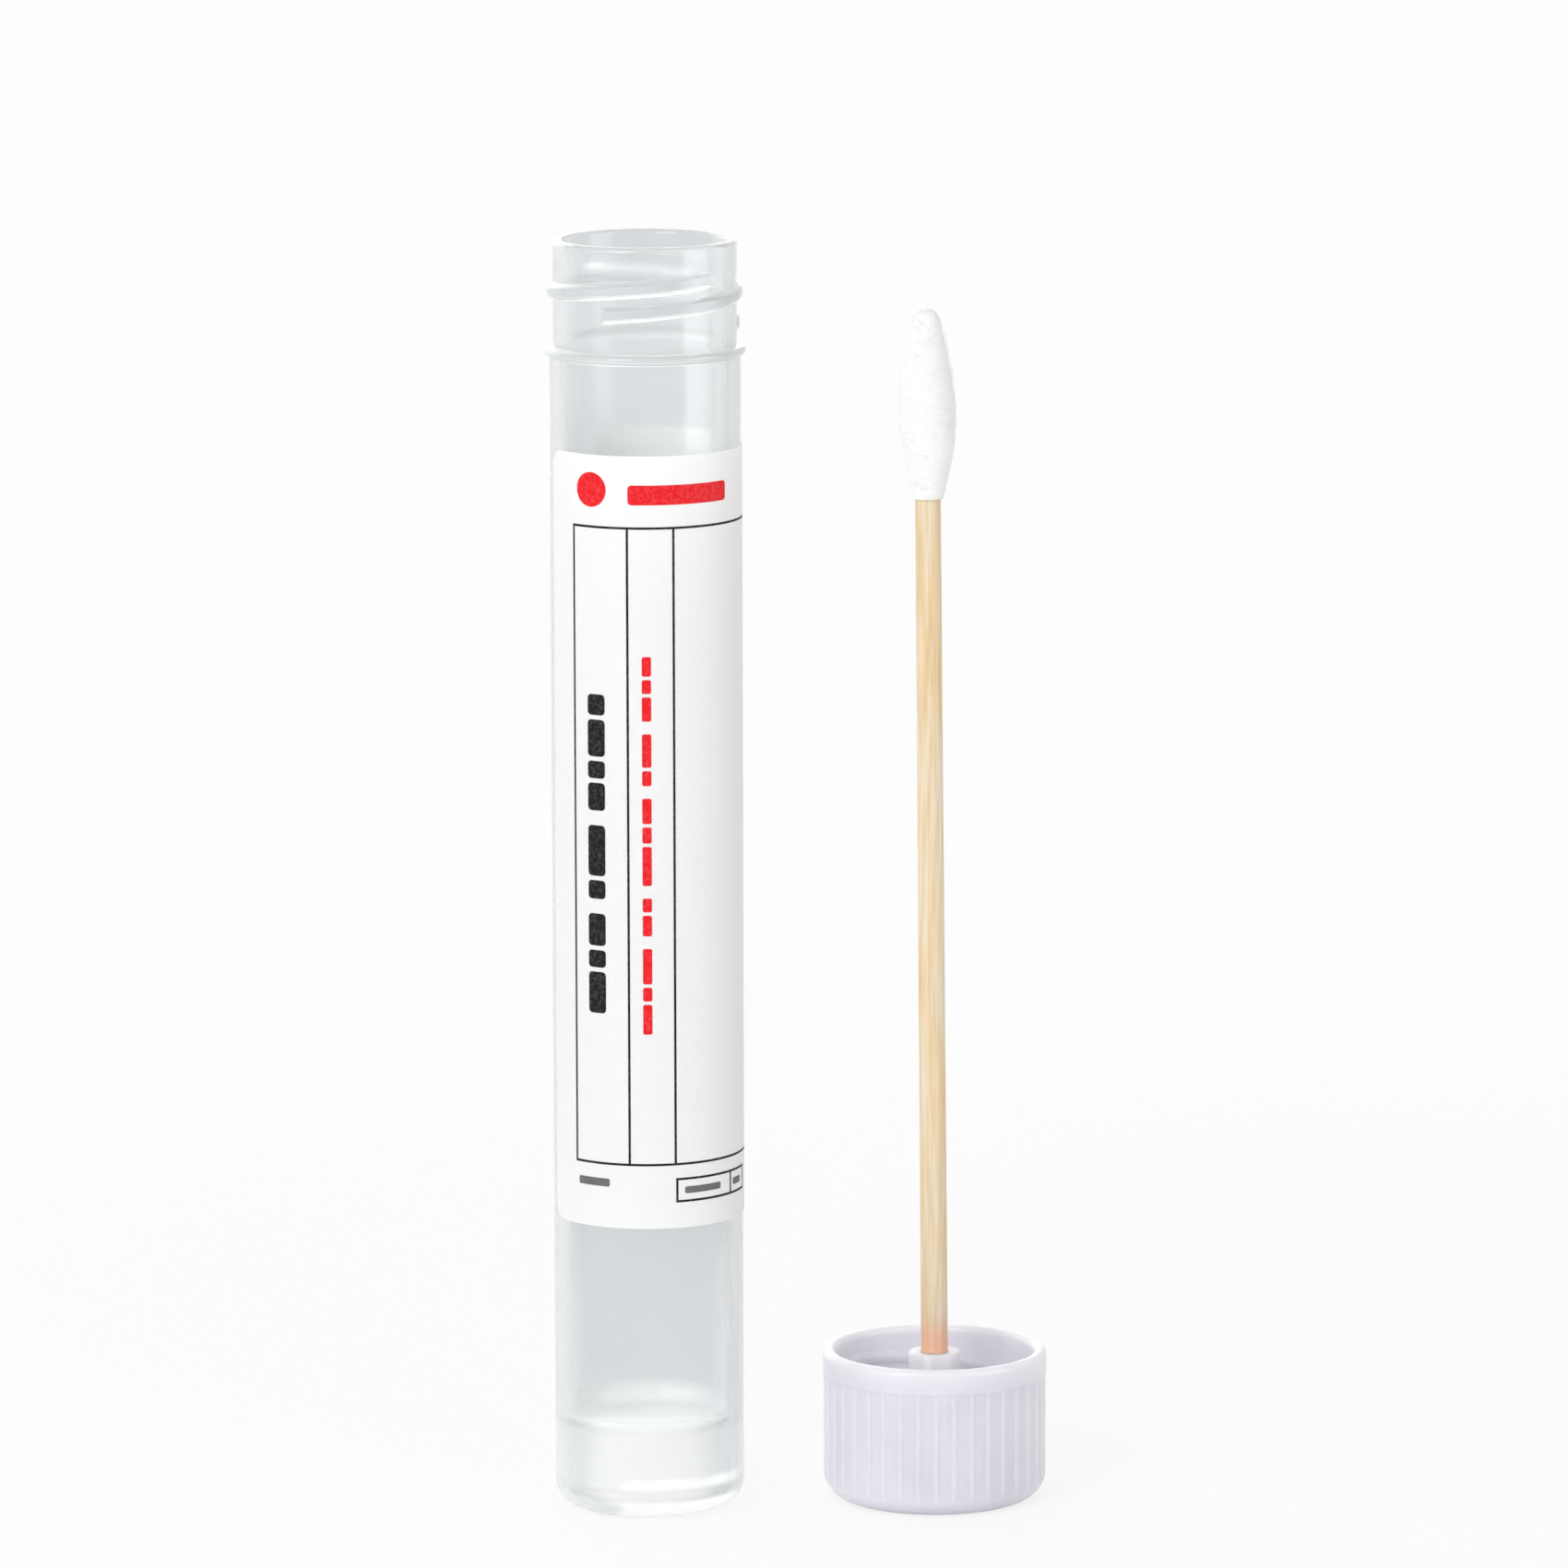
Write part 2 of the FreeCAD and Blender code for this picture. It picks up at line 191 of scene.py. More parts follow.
def clear_polypropylene():
    """Moulded polypropylene, natural: clear to look through, but hazy where the eye passes
    through more of it, as at its limbs and in its thread and bead. The foot cooled slowly and
    is milky, which shows where light comes up through its middle. The skin is glossy, with a
    faint drag from the mould. Lamps light what is behind it, less so where it is hazy."""
    material = new_material("clear_polypropylene")
    place = add(material, "ShaderNodeTexCoord")
    height = add(material, "ShaderNodeSeparateXYZ", links={"Vector": place.outputs["Object"]})
    foot = add(material, "ShaderNodeMapRange", interpolation_type="SMOOTHSTEP",
               values={"From Min": milky_low, "From Max": milky_high, "To Min": 1, "To Max": 0},
               links={"Value": height.outputs["Z"]})
    slant = add(material, "ShaderNodeLayerWeight", values={"Blend": 0.5})
    core = add(material, "ShaderNodeMapRange", interpolation_type="SMOOTHSTEP",
               values={"From Min": 0.12, "From Max": 0.34, "To Min": foot_haze[0],
                       "To Max": foot_haze[1]},
               links={"Value": slant.outputs["Facing"]})
    milk = add(material, "ShaderNodeMath", operation="MULTIPLY",
               links={0: foot.outputs["Result"], 1: core.outputs["Result"]})
    edge = add(material, "ShaderNodeMapRange", interpolation_type="SMOOTHSTEP",
               values={"From Min": 0.3, "From Max": 0.62, "To Min": wall_haze[0],
                       "To Max": wall_haze[1]},
               links={"Value": slant.outputs["Facing"]})
    ridge = add(material, "ShaderNodeAttribute", attribute_name="thickening")
    raised = add(material, "ShaderNodeMath", operation="MULTIPLY", values={1: thread_haze},
                 links={0: ridge.outputs["Fac"]})
    hazier = add(material, "ShaderNodeMath", operation="MAXIMUM",
                 links={0: edge.outputs["Result"], 1: milk.outputs["Value"]})
    haze = add(material, "ShaderNodeMath", operation="ADD", use_clamp=True,
               links={0: hazier.outputs["Value"], 1: raised.outputs["Value"]})
    clear = add(material, "ShaderNodeMath", operation="SUBTRACT", values={0: 1},
                links={1: haze.outputs["Value"]})
    tint = add(material, "ShaderNodeMix", data_type="RGBA",
               values={"A": paint("#FBFCFC"), "B": paint("#D6D9DA")},
               links={"Factor": ridge.outputs["Fac"]})
    drag = add(material, "ShaderNodeMapping", values={"Scale": (1, 1, 0.08)},
               links={"Vector": place.outputs["Object"]})
    streaks = add(material, "ShaderNodeTexNoise", values={"Scale": 1 / (1.2 * mm), "Detail": 2},
                  links={"Vector": drag.outputs["Vector"]})
    skin = add(material, "ShaderNodeBump", values={"Strength": 0.05, "Distance": 0.02 * mm},
               links={"Height": streaks.outputs["Fac"]})
    shader = add(material, "ShaderNodeBsdfPrincipled", values={"Roughness": 0.14, "IOR": 1.49},
                 links={"Base Color": tint.outputs[2], "Normal": skin.outputs["Normal"],
                        "Transmission Weight": clear.outputs["Value"]})
    held_back = add(material, "ShaderNodeMapRange",
                    values={"To Min": -wall_holds_back, "To Max": -foot_holds_back},
                    links={"Value": foot.outputs["Result"]})
    passed_on = add(material, "ShaderNodeMath", operation="MULTIPLY_ADD", values={2: 1},
                    links={0: haze.outputs["Value"], 1: held_back.outputs["Result"]})
    path = add(material, "ShaderNodeLightPath")
    lit_through = add(material, "ShaderNodeMath", operation="MULTIPLY",
                      links={0: path.outputs["Is Shadow Ray"], 1: passed_on.outputs["Value"]})
    opening = add(material, "ShaderNodeBsdfTransparent")
    lets_lamps_in = add(material, "ShaderNodeMixShader",
                        links={0: lit_through.outputs["Value"], 1: shader.outputs["BSDF"],
                               2: opening.outputs["BSDF"]})
    add(material, "ShaderNodeOutputMaterial",
        links={"Surface": lets_lamps_in.outputs["Shader"]})
    return material


def tube_outline():
    """Half of the tube's section, from the middle of its foot to the middle of its floor."""
    rim_middle = (neck_radius + bore_radius) / 2
    rim_round = (neck_radius - bore_radius) / 2
    neck_low = bead_height + bead_half
    neck_high = rim_height - rim_round
    neck = [neck_low + (neck_high - neck_low) * step / neck_steps for step in range(neck_steps)]
    floor_corner = bore_radius - floor_round
    return [
        (0, foot_dish),
        (foot_radius - foot_dish, foot_dish),
        (foot_radius, 0),
        *arc(body_radius - base_round, base_round, base_round, -90, 0, base_steps),
        (body_radius, bead_height - bead_half - under_bead[1]),
        (body_radius + under_bead[0], bead_height - bead_half),
        *arc(bead_radius - bead_half, bead_height, bead_half, -bead_side, bead_side,
             round_steps),
        (neck_radius + over_bead, neck_low),
        *[(neck_radius, height) for height in neck[1:]],
        *arc(rim_middle, neck_high, rim_round, 0, 180, round_steps),
        *arc(floor_corner, floor_height + floor_round, floor_round, 0, -90, round_steps),
        (0, floor_height),
    ]


def raise_thread_and_lug(skin):
    """Swell the neck's outer wall into the two thread ridges and the stop lug, and note on
    each vertex how much it is thickened, there and on the bead."""
    thickening = skin.verts.layers.float.new("thickening")
    bead_from = body_radius + 0.02 * mm
    neck_from = neck_radius - 0.05 * mm
    for vert in skin.verts:
        radius = math.hypot(vert.co.x, vert.co.y)
        height = vert.co.z
        if radius > bead_from:
            vert[thickening] = bead_thickening
        if radius < neck_from or height < bead_height + 2 * bead_half:
            continue
        turn = math.degrees(math.atan2(vert.co.y, vert.co.x))
        ridge = thread_ridge(turn, height, neck_thread_low, neck_thread_turns, neck_thread_span,
                             neck_thread_root, neck_thread_crest, neck_thread_run_out)
        above = rise(lug_low, lug_low + lug_slope, height)
        below = 1 - rise(lug_high - lug_slope, lug_high, height)
        beside = 1 - rise(lug_half_turn - lug_side, lug_half_turn, abs(turn))
        lug = above * below * beside
        swell = max(ridge * neck_thread_height, lug * lug_reach)
        vert[thickening] = max(ridge, lug)
        vert.co.xy *= (radius + swell) / radius


tube_skin = spun(tube_outline(), tube_columns)
raise_thread_and_lug(tube_skin)
tube = made_piece("tube_wall", tube_skin, clear_polypropylene())
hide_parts("tube")


# ---------------------------------------------------------------------------------------
# Label: smooth white paper, die cut with rounded corners and stuck round the tube. It stops
# short of meeting itself, so a bare strip of the tube is left at the back for reading a level.
# ---------------------------------------------------------------------------------------
paper_start = -161
paper_end = 128.5
paper_corner = 1.5 * mm
paper_gap = 0.015 * mm  # of air behind the sheet, so that it and the wall stay two skins
slice_turn = 1.5  # degrees between the cuts that let a flat sheet bend


def flat_patch(width, height, corner, corner_segments=6):
    """A flat rectangle in the XZ plane, with one corner at the origin and all four rounded."""
    patch = bmesh.new()
    places = ((0, 0), (width, 0), (width, height), (0, height))
    patch.faces.new([patch.verts.new((across, 0, up)) for across, up in places])
    if corner > 0:
        bmesh.ops.bevel(patch, geom=patch.verts, offset=corner, segments=corner_segments,
                        profile=0.5, affect="VERTICES", material=-1)
    return patch


def wrapped(patch, start, low, radius, thickness):
    """Slice a flat patch upright, wrap it round the tube from a turn and a height, thicken it."""
    width = max(vert.co.x for vert in patch.verts)
    turn_per_metre = 1 / radius
    step = math.radians(slice_turn) / turn_per_metre
    for number in range(1, int(width / step) + 1):
        everything = [*patch.verts, *patch.edges, *patch.faces]
        bmesh.ops.bisect_plane(patch, geom=everything, dist=1e-9,
                               plane_co=(number * step, 0, 0), plane_no=(1, 0, 0))
    for vert in patch.verts:
        turn = math.radians(start) + vert.co.x * turn_per_metre
        vert.co = Vector((radius * math.cos(turn), radius * math.sin(turn), low + vert.co.z))
    bmesh.ops.recalc_face_normals(patch, faces=patch.faces)
    middle = max(patch.faces, key=lambda face: face.calc_area())
    centre = middle.calc_center_median()
    if middle.normal.x * centre.x + middle.normal.y * centre.y < 0:
        bmesh.ops.reverse_faces(patch, faces=patch.faces)
    bmesh.ops.solidify(patch, geom=patch.faces, thickness=thickness)
    bmesh.ops.recalc_face_normals(patch, faces=patch.faces)
    return patch


def coated_paper():
    """Coated label paper: bright white, faintly satin, and thin enough for light to soak
    through. The fibres just show as fine mottling and a soft unevenness of the surface."""
    material = new_material("coated_paper")
    place = add(material, "ShaderNodeTexCoord")
    fibres = add(material, "ShaderNodeTexNoise", values={"Scale": 1 / (0.35 * mm), "Detail": 6},
                 links={"Vector": place.outputs["Object"]})
    mottle = add(material, "ShaderNodeValToRGB", links={"Fac": fibres.outputs["Fac"]},
                 stops=[(0.3, paint("#FBFBFA")), (0.7, paint("#FEFEFD"))])
    waves = add(material, "ShaderNodeTexNoise", values={"Scale": 1 / (6 * mm), "Detail": 2},
                links={"Vector": place.outputs["Object"]})
    coarse = add(material, "ShaderNodeBump", values={"Strength": 0.15, "Distance": 0.05 * mm},
                 links={"Height": waves.outputs["Fac"]})
    fine = add(material, "ShaderNodeBump", values={"Strength": 0.15, "Distance": 0.01 * mm},
               links={"Height": fibres.outputs["Fac"], "Normal": coarse.outputs["Normal"]})
    shader = add(material, "ShaderNodeBsdfPrincipled",
                 values={"Roughness": 0.55, "Specular IOR Level": 0.35, "Subsurface Weight": 1,
                         "Subsurface Radius": (1, 1, 1), "Subsurface Scale": 0.13 * mm},
                 links={"Base Color": mottle.outputs["Color"], "Normal": fine.outputs["Normal"]})
    add(material, "ShaderNodeOutputMaterial", links={"Surface": shader.outputs["BSDF"]})
    return material


paper_width = math.radians(paper_end - paper_start) * paper_radius
paper_sheet = wrapped(flat_patch(paper_width, paper_high.z - paper_low.z, paper_corner),
                      paper_start, paper_low.z, paper_radius, paper_thickness - paper_gap)
label = made_piece("label_sheet", paper_sheet, coated_paper(), crease=30)
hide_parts("label")


# ---------------------------------------------------------------------------------------
# Print on the label: a ruled writing field and plain blocks of ink, screen printed. The blocks
# are generic marks that stand where a label has its words, and they say nothing.
# ---------------------------------------------------------------------------------------
ink_thickness = 0.008 * mm
ink_corner = 0.2  # the share of a block's narrow side that its corners round off
line_width = 0.2 * mm
front = -90  # the turn that faces the camera

field_turns = (-47.5, -11.1, 16.5, 200)
field_low = 31.63 * mm
field_high = 87.3 * mm
box_turns = (17.4, 58.4, 77.4)
box_low = 28.35 * mm
box_high = 30.5 * mm

title_words = ((3.6, 1.5, 2.8), (1.6, 4.4), (2.4, 1.5, 3.2, 1.8))
title_turn = -36.5
title_low = 44.9 * mm
title_depth = 1.7 * mm
title_gaps = (0.4 * mm, 0.9 * mm)  # between blocks, and added between words
subtitle_words = ((2.6, 1.2, 3.1), (1.8, 1.2), (3.4, 1.4, 2.2), (1.3, 2.9), (2.1, 1.2, 1.7))
subtitle_turn = -2
subtitle_low = 43.2 * mm
subtitle_depth = 0.8 * mm
subtitle_gaps = (0.3 * mm, 0.8 * mm)

disc_turn = -44
disc_low = 88.9 * mm
disc_width = 3 * mm
disc_corner = 1.49 * mm
disc_segments = 8
heading_bar = (-10, 89.2, 9.5, 1.7)  # its turn, and its height, width and depth in millimetres
heading_corner = 0.3 * mm
small_bars = ((-45, 29.7, 3.2, 0.7), (23, 29.1, 3.8, 0.6), (62, 29.1, 1.5, 0.6))
small_corner = 0.15 * mm


def printing_ink(name, hex_colour):
    """Screen ink on paper: an even, flat colour, nearly matt, with a little less cover over the
    paper's high fibres."""
    material = new_material(name)
    place = add(material, "ShaderNodeTexCoord")
    cover = add(material, "ShaderNodeTexNoise", values={"Scale": 1 / (0.3 * mm), "Detail": 4},
                links={"Vector": place.outputs["Object"]})
    colour = Vector(paint(hex_colour)[:3])
    thin = colour.lerp(Vector((1, 1, 1)), 0.05)
    ramp = add(material, "ShaderNodeValToRGB", links={"Fac": cover.outputs["Fac"]},
               stops=[(0.45, (*colour, 1)), (0.75, (*thin, 1))])
    shader = add(material, "ShaderNodeBsdfPrincipled",
                 values={"Roughness": 0.5, "Specular IOR Level": 0.12},
                 links={"Base Color": ramp.outputs["Color"]})
    add(material, "ShaderNodeOutputMaterial", links={"Surface": shader.outputs["BSDF"]})
    return material


def add_to(sheet, patch):
    """Join a small mesh to a larger one."""
    mesh = bpy.data.meshes.new("patch")
    patch.to_mesh(mesh)
    patch.free()
    sheet.from_mesh(mesh)
    bpy.data.meshes.remove(mesh)


def mark(sheet, turn, low, width, height, corner=0, corner_segments=3):
    """Print one mark into a sheet of ink: turn is counted from the front, to the right."""
    flat = flat_patch(width, height, corner, corner_segments)
    add_to(sheet, wrapped(flat, front + turn, low, paper_radius + ink_thickness, ink_thickness))


def bar(sheet, turn, low, width, depth, corner):
    """Print a bar across the label, its sizes in millimetres."""
    mark(sheet, turn, low * mm, width * mm, depth * mm, corner)


def ruled_box(sheet, turns, low, high):
    """Rule a box across the label, with an upright at each turn."""
    for turn in turns:
        mark(sheet, turn, low, line_width, high - low)
    width = math.radians(turns[-1] - turns[0]) * paper_radius
    for height in (low, high - line_width):
        mark(sheet, turns[0], height, width, line_width)


def words_up(sheet, words, turn, low, depth, gaps):
    """Print words up the label as runs of blocks, each as long as its size in millimetres."""
    for word in words:
        for size in word:
            length = size * mm
            mark(sheet, turn, low, depth, length, min(depth, length) * ink_corner)
            low += length + gaps[0]
        low += gaps[1]


black_print = bmesh.new()
ruled_box(black_print, field_turns, field_low, field_high)
words_up(black_print, title_words, title_turn, title_low, title_depth, title_gaps)
ruled_box(black_print, box_turns, box_low, box_high)
black_ink = printing_ink("black_screen_ink", "#1B181A")
made_piece("label_print_black", black_print, black_ink, crease=30)

red_print = bmesh.new()
mark(red_print, disc_turn, disc_low, disc_width, disc_width, disc_corner, disc_segments)
bar(red_print, *heading_bar, heading_corner)
words_up(red_print, subtitle_words, subtitle_turn, subtitle_low, subtitle_depth, subtitle_gaps)
red_ink = printing_ink("red_screen_ink", "#E61C24")
made_piece("label_print_red", red_print, red_ink, crease=30)

grey_print = bmesh.new()
for small_bar in small_bars:
    bar(grey_print, *small_bar, small_corner)
grey_ink = printing_ink("grey_screen_ink", "#6A6A6C")
made_piece("label_print_grey", grey_print, grey_ink, crease=30)


# ---------------------------------------------------------------------------------------
# Cap: one injection moulding in white polypropylene, standing on its closed end. Ribs stand
# between shallow flats below a plain collar; inside are the thread, the seat and the boss.
# ---------------------------------------------------------------------------------------
cap_low, cap_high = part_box("cap")
cap_centre = (cap_low + cap_high) / 2
cap_radius = (cap_high.x - cap_low.x) / 2
cap_height = cap_high.z
rib_crest_radius = cap_radius - 0.06 * mm
flat_radius = cap_radius - 0.24 * mm
cap_bore_radius = 8.65 * mm
seat_height = 4.4 * mm
well_radius = 6.9 * mm
cap_floor = 1.6 * mm
cap_edge_round = 2.3 * mm
collar_low = cap_height - 2.15 * mm
collar_corner = (0.03 * mm, 0.06 * mm)
under_collar = 0.08 * mm
well_corner = 0.1 * mm
boss_radius = 2.25 * mm
boss_top = 12.9 * mm
boss_corner = 0.12 * mm
boss_foot = 0.2 * mm
socket_radius = 1.15 * mm
socket_floor = 4.4 * mm
socket_mouth = (0.05 * mm, 0.1 * mm)
rib_count = 38
columns_per_rib = 12
rib_half_columns = 1.5  # how many columns a rib spans on each side of its middle
cap_edge_steps = 16
lip_steps = 14
skirt_steps = 6
bore_steps = 84

cap_thread_low = 8.95 * mm
cap_thread_turns = (-20, 160)
cap_thread_span = 205
cap_thread_run_out = 6
cap_thread_height = 0.52 * mm
cap_thread_root = 1.1 * mm
cap_thread_crest = 0.6 * mm


def white_polypropylene():
    """Moulded polypropylene, filled white with a cool lilac cast: light soaks a few millimetres
    into it, which softens its shades, and its satin skin is very slightly uneven."""
    material = new_material("white_polypropylene")
    place = add(material, "ShaderNodeTexCoord")
    cloud = add(material, "ShaderNodeTexNoise", values={"Scale": 1 / (4 * mm), "Detail": 3},
                links={"Vector": place.outputs["Object"]})
    colour = add(material, "ShaderNodeValToRGB", links={"Fac": cloud.outputs["Fac"]},
                 stops=[(0.35, paint("#DCDAE3")), (0.65, paint("#E1DFE8"))])
    skin = add(material, "ShaderNodeBump", values={"Strength": 0.1, "Distance": 0.02 * mm},
               links={"Height": cloud.outputs["Fac"]})
    shader = add(material, "ShaderNodeBsdfPrincipled",
                 values={"Roughness": 0.32, "IOR": 1.49, "Subsurface Weight": 0.9,
                         "Subsurface Radius": (1, 1, 1), "Subsurface Scale": 3 * mm},
                 links={"Base Color": colour.outputs["Color"], "Normal": skin.outputs["Normal"]})
    add(material, "ShaderNodeOutputMaterial", links={"Surface": shader.outputs["BSDF"]})
    return material


def cap_outline():
    """Half of the cap's section, from the middle of its closed end to the foot of the socket."""
    edge_centre = rib_crest_radius - cap_edge_round
    lip_middle = (cap_radius + cap_bore_radius) / 2
    lip_half = (cap_radius - cap_bore_radius) / 2
    bore_high = cap_height - lip_half
    bore = [bore_high - (bore_high - seat_height) * step / bore_steps
            for step in range(1, bore_steps + 1)]
    skirt = [cap_edge_round + (collar_low - cap_edge_round) * step / skirt_steps
             for step in range(1, skirt_steps)]
    return [
        (0, 0),
        *arc(edge_centre, cap_edge_round, cap_edge_round, -90, 0, cap_edge_steps),
        *[(rib_crest_radius, height) for height in skirt],
        (rib_crest_radius, collar_low - under_collar),
        (cap_radius - collar_corner[0], collar_low),
        (cap_radius, collar_low + collar_corner[1]),
        *arc(lip_middle, bore_high, lip_half, 0, 180, lip_steps),
        *[(cap_bore_radius, height) for height in bore],
        (well_radius + well_corner, seat_height),
        (well_radius, seat_height - well_corner),
        (well_radius, cap_floor),
        (boss_radius + boss_foot, cap_floor),
        (boss_radius, cap_floor + boss_foot),
        (boss_radius, boss_top - boss_corner),
        (boss_radius - boss_corner, boss_top),
        (socket_radius + socket_mouth[0], boss_top),
        (socket_radius, boss_top - socket_mouth[1]),
        (socket_radius, socket_floor),
        (0, socket_floor),
    ]


def cut_flats_and_raise_thread(skin):
    """Sink the flats between the ribs, and swell the bore's wall into its two thread ridges."""
    pitch = 360 / rib_count
    rib_half = pitch * rib_half_columns / columns_per_rib
    for vert in skin.verts:
        radius = math.hypot(vert.co.x, vert.co.y)
        height = vert.co.z
        turn = math.degrees(math.atan2(vert.co.y, vert.co.x))
        below_collar = height < collar_low - under_collar / 2
        on_bore = abs(radius - cap_bore_radius) < 0.001 * mm
        if flat_radius < radius and below_collar:
            from_rib = abs((turn - front + pitch / 2) % pitch - pitch / 2)
            if from_rib > rib_half:
                vert.co.xy *= flat_radius / radius
        elif on_bore and height > seat_height + well_corner:
            ridge = thread_ridge(turn, height, cap_thread_low, cap_thread_turns, cap_thread_span,
                                 cap_thread_root, cap_thread_crest, cap_thread_run_out)
            vert.co.xy *= (radius - ridge * cap_thread_height) / radius


cap_skin = spun(cap_outline(), rib_count * columns_per_rib)
bmesh.ops.rotate(cap_skin, verts=cap_skin.verts, cent=(0, 0, 0),
                 matrix=Matrix.Rotation(math.radians(front), 3, "Z"))
cut_flats_and_raise_thread(cap_skin)
cap_place = Vector((cap_centre.x, cap_centre.y, 0))
bmesh.ops.translate(cap_skin, verts=cap_skin.verts, vec=cap_place)
cap = made_piece("screw_cap", cap_skin, white_polypropylene(), crease=50)
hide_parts("cap")


# ---------------------------------------------------------------------------------------
# Stick: a plain turned rod of birch, pushed into the cap's boss. It leans a little to the
# left, its grain runs lengthwise, and the end by the boss is stained faintly pink.
# ---------------------------------------------------------------------------------------
stick_low_radius = 1.18 * mm
stick_high_radius = 1.1 * mm
stick_reach = 87.5 * mm
stick_grip = 8.4 * mm
stick_lean = 0.45
stick_unevenness = 0.012
stick_wave = 9 * mm
stick_columns = 48
stick_rows = 96
stain_low = 1 * mm  # both above the boss's top
stain_high = 4 * mm


def seat_on_boss(skin):
    """Stand a piece that was drawn about Z on the boss, leaning with the stick."""
    lean = Matrix.Rotation(math.radians(-stick_lean), 3, "Y")
    bmesh.ops.rotate(skin, verts=skin.verts, cent=(0, 0, 0), matrix=lean)
    bmesh.ops.translate(skin, verts=skin.verts, vec=cap_place + Vector((0, 0, boss_top)))


def turned_birch():
    """Birch dowel: pale straw, with fine darker streaks and shallow pores along the grain. It
    is sanded but unfinished, so it is dull."""
    material = new_material("turned_birch")
    place = add(material, "ShaderNodeTexCoord")
    along = add(material, "ShaderNodeMapping", values={"Scale": (1, 1, 0.035)},
                links={"Vector": place.outputs["Object"]})
    streaks = add(material, "ShaderNodeTexNoise",
                  values={"Scale": 1 / (0.28 * mm), "Detail": 5, "Roughness": 0.6},
                  links={"Vector": along.outputs["Vector"]})
    grain = add(material, "ShaderNodeValToRGB", links={"Fac": streaks.outputs["Fac"]},
                stops=[(0.3, paint("#D7C3A2")), (0.52, paint("#E5D8BF")),
                       (0.72, paint("#EDE4D4"))])
    bands = add(material, "ShaderNodeMapping", values={"Scale": (0.6, 0.6, 0.12)},
                links={"Vector": place.outputs["Object"]})
    cloud = add(material, "ShaderNodeTexNoise", values={"Scale": 1 / (1.4 * mm), "Detail": 2},
                links={"Vector": bands.outputs["Vector"]})
    warmth = add(material, "ShaderNodeValToRGB", links={"Fac": cloud.outputs["Fac"]},
                 stops=[(0.3, paint("#FFEFD6")), (0.7, paint("#FFFFFF"))])
    wood = add(material, "ShaderNodeMix", data_type="RGBA", blend_type="MULTIPLY",
               values={"Factor": 1},
               links={"A": grain.outputs["Color"], "B": warmth.outputs["Color"]})
    height = add(material, "ShaderNodeSeparateXYZ", links={"Vector": place.outputs["Object"]})
    stain = add(material, "ShaderNodeMapRange", interpolation_type="SMOOTHSTEP",
                values={"From Min": boss_top + stain_low, "From Max": boss_top + stain_high,
                        "To Min": 0.5, "To Max": 0},
                links={"Value": height.outputs["Z"]})
    stained = add(material, "ShaderNodeMix", data_type="RGBA", values={"B": paint("#FDAC8C")},
                  links={"Factor": stain.outputs["Result"], "A": wood.outputs[2]})
    pores = add(material, "ShaderNodeBump", values={"Strength": 0.3, "Distance": 0.03 * mm},
                links={"Height": streaks.outputs["Fac"]})
    shader = add(material, "ShaderNodeBsdfPrincipled",
                 values={"Roughness": 0.62, "Specular IOR Level": 0.3},
                 links={"Base Color": stained.outputs[2], "Normal": pores.outputs["Normal"]})
    add(material, "ShaderNodeOutputMaterial", links={"Surface": shader.outputs["BSDF"]})
    return material


def stick_outline():
    """Half of the rod's section, from its end in the boss to its end in the cotton."""
    taper = stick_high_radius - stick_low_radius
    length = stick_reach + stick_grip
    shares = [row / stick_rows for row in range(stick_rows + 1)]
    side = [(stick_low_radius + taper * share, length * share - stick_grip) for share in shares]
    return [(0, -stick_grip), *side, (0, stick_reach)]


def turn_unevenly(skin):
    """Let the rod's side waver by a hair, as a turned one does."""
    for vert in skin.verts:
        wave = noise.noise(Vector((vert.co.x / mm, vert.co.y / mm, vert.co.z / stick_wave)))
        vert.co.xy *= 1 + stick_unevenness * wave


stick_skin = spun(stick_outline(), stick_columns)
turn_unevenly(stick_skin)
seat_on_boss(stick_skin)
stick = made_piece("birch_stick", stick_skin, turned_birch())
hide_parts("stick")


# ---------------------------------------------------------------------------------------
# Bud: cotton fibre wound round the tip of the stick into a spindle. The winding lies in soft
# slanting folds, its foot ends in a loose lip, and fine loose fibres lift off the surface.
# ---------------------------------------------------------------------------------------
bud_foot = 75.4 * mm
bud_waist = 82.8 * mm
bud_shoulder = 90.7 * mm
bud_foot_radius = 1.32 * mm
bud_radius = 2.44 * mm
bud_nose_radius = 1.18 * mm
bud_top = bud_shoulder + bud_nose_radius
bud_lip = 0.25 * mm
bud_belly_power = 1.15
bud_shoulder_power = 1.9
bud_rows = 90
bud_columns = 128

fold_height = 0.05 * mm
fold_slant = 0.55
fold_scale = 1.6
lump_height = 0.07 * mm
lump_width = 2.6 * mm
even_radius = 1.2 * mm  # inside it folds and lumps fade out, towards the nose
winding_dip = 0.9 * mm

fibre_count = 900
fibre_seed = 7
fibre_radius = 0.011 * mm
fibre_steps = 4
fibre_spread = 0.9
fibre_sweep = (0.15, 0.7)  # radians round the bud
fibre_climb = (0.1, 0.9)  # in millimetres, as the lift is
fibre_lift = (0.02, 0.16)
fibre_gap = 0.01 * mm
nose_clear = 0.05 * mm


def bud_profile(up):
    """The spindle's radius at a height above the boss."""
    if up < bud_waist:
        share = (up - bud_foot) / (bud_waist - bud_foot)
        filled = math.sin(share * math.pi / 2) ** bud_belly_power
        return bud_foot_radius + (bud_radius - bud_foot_radius) * filled
    if up < bud_shoulder:
        share = (up - bud_waist) / (bud_shoulder - bud_waist)
        filled = 1 - share ** bud_shoulder_power
        return bud_nose_radius + (bud_radius - bud_nose_radius) * filled
    share = min((up - bud_shoulder) / bud_nose_radius, 1)
    return bud_nose_radius * math.sqrt(max(1 - share * share, 0))


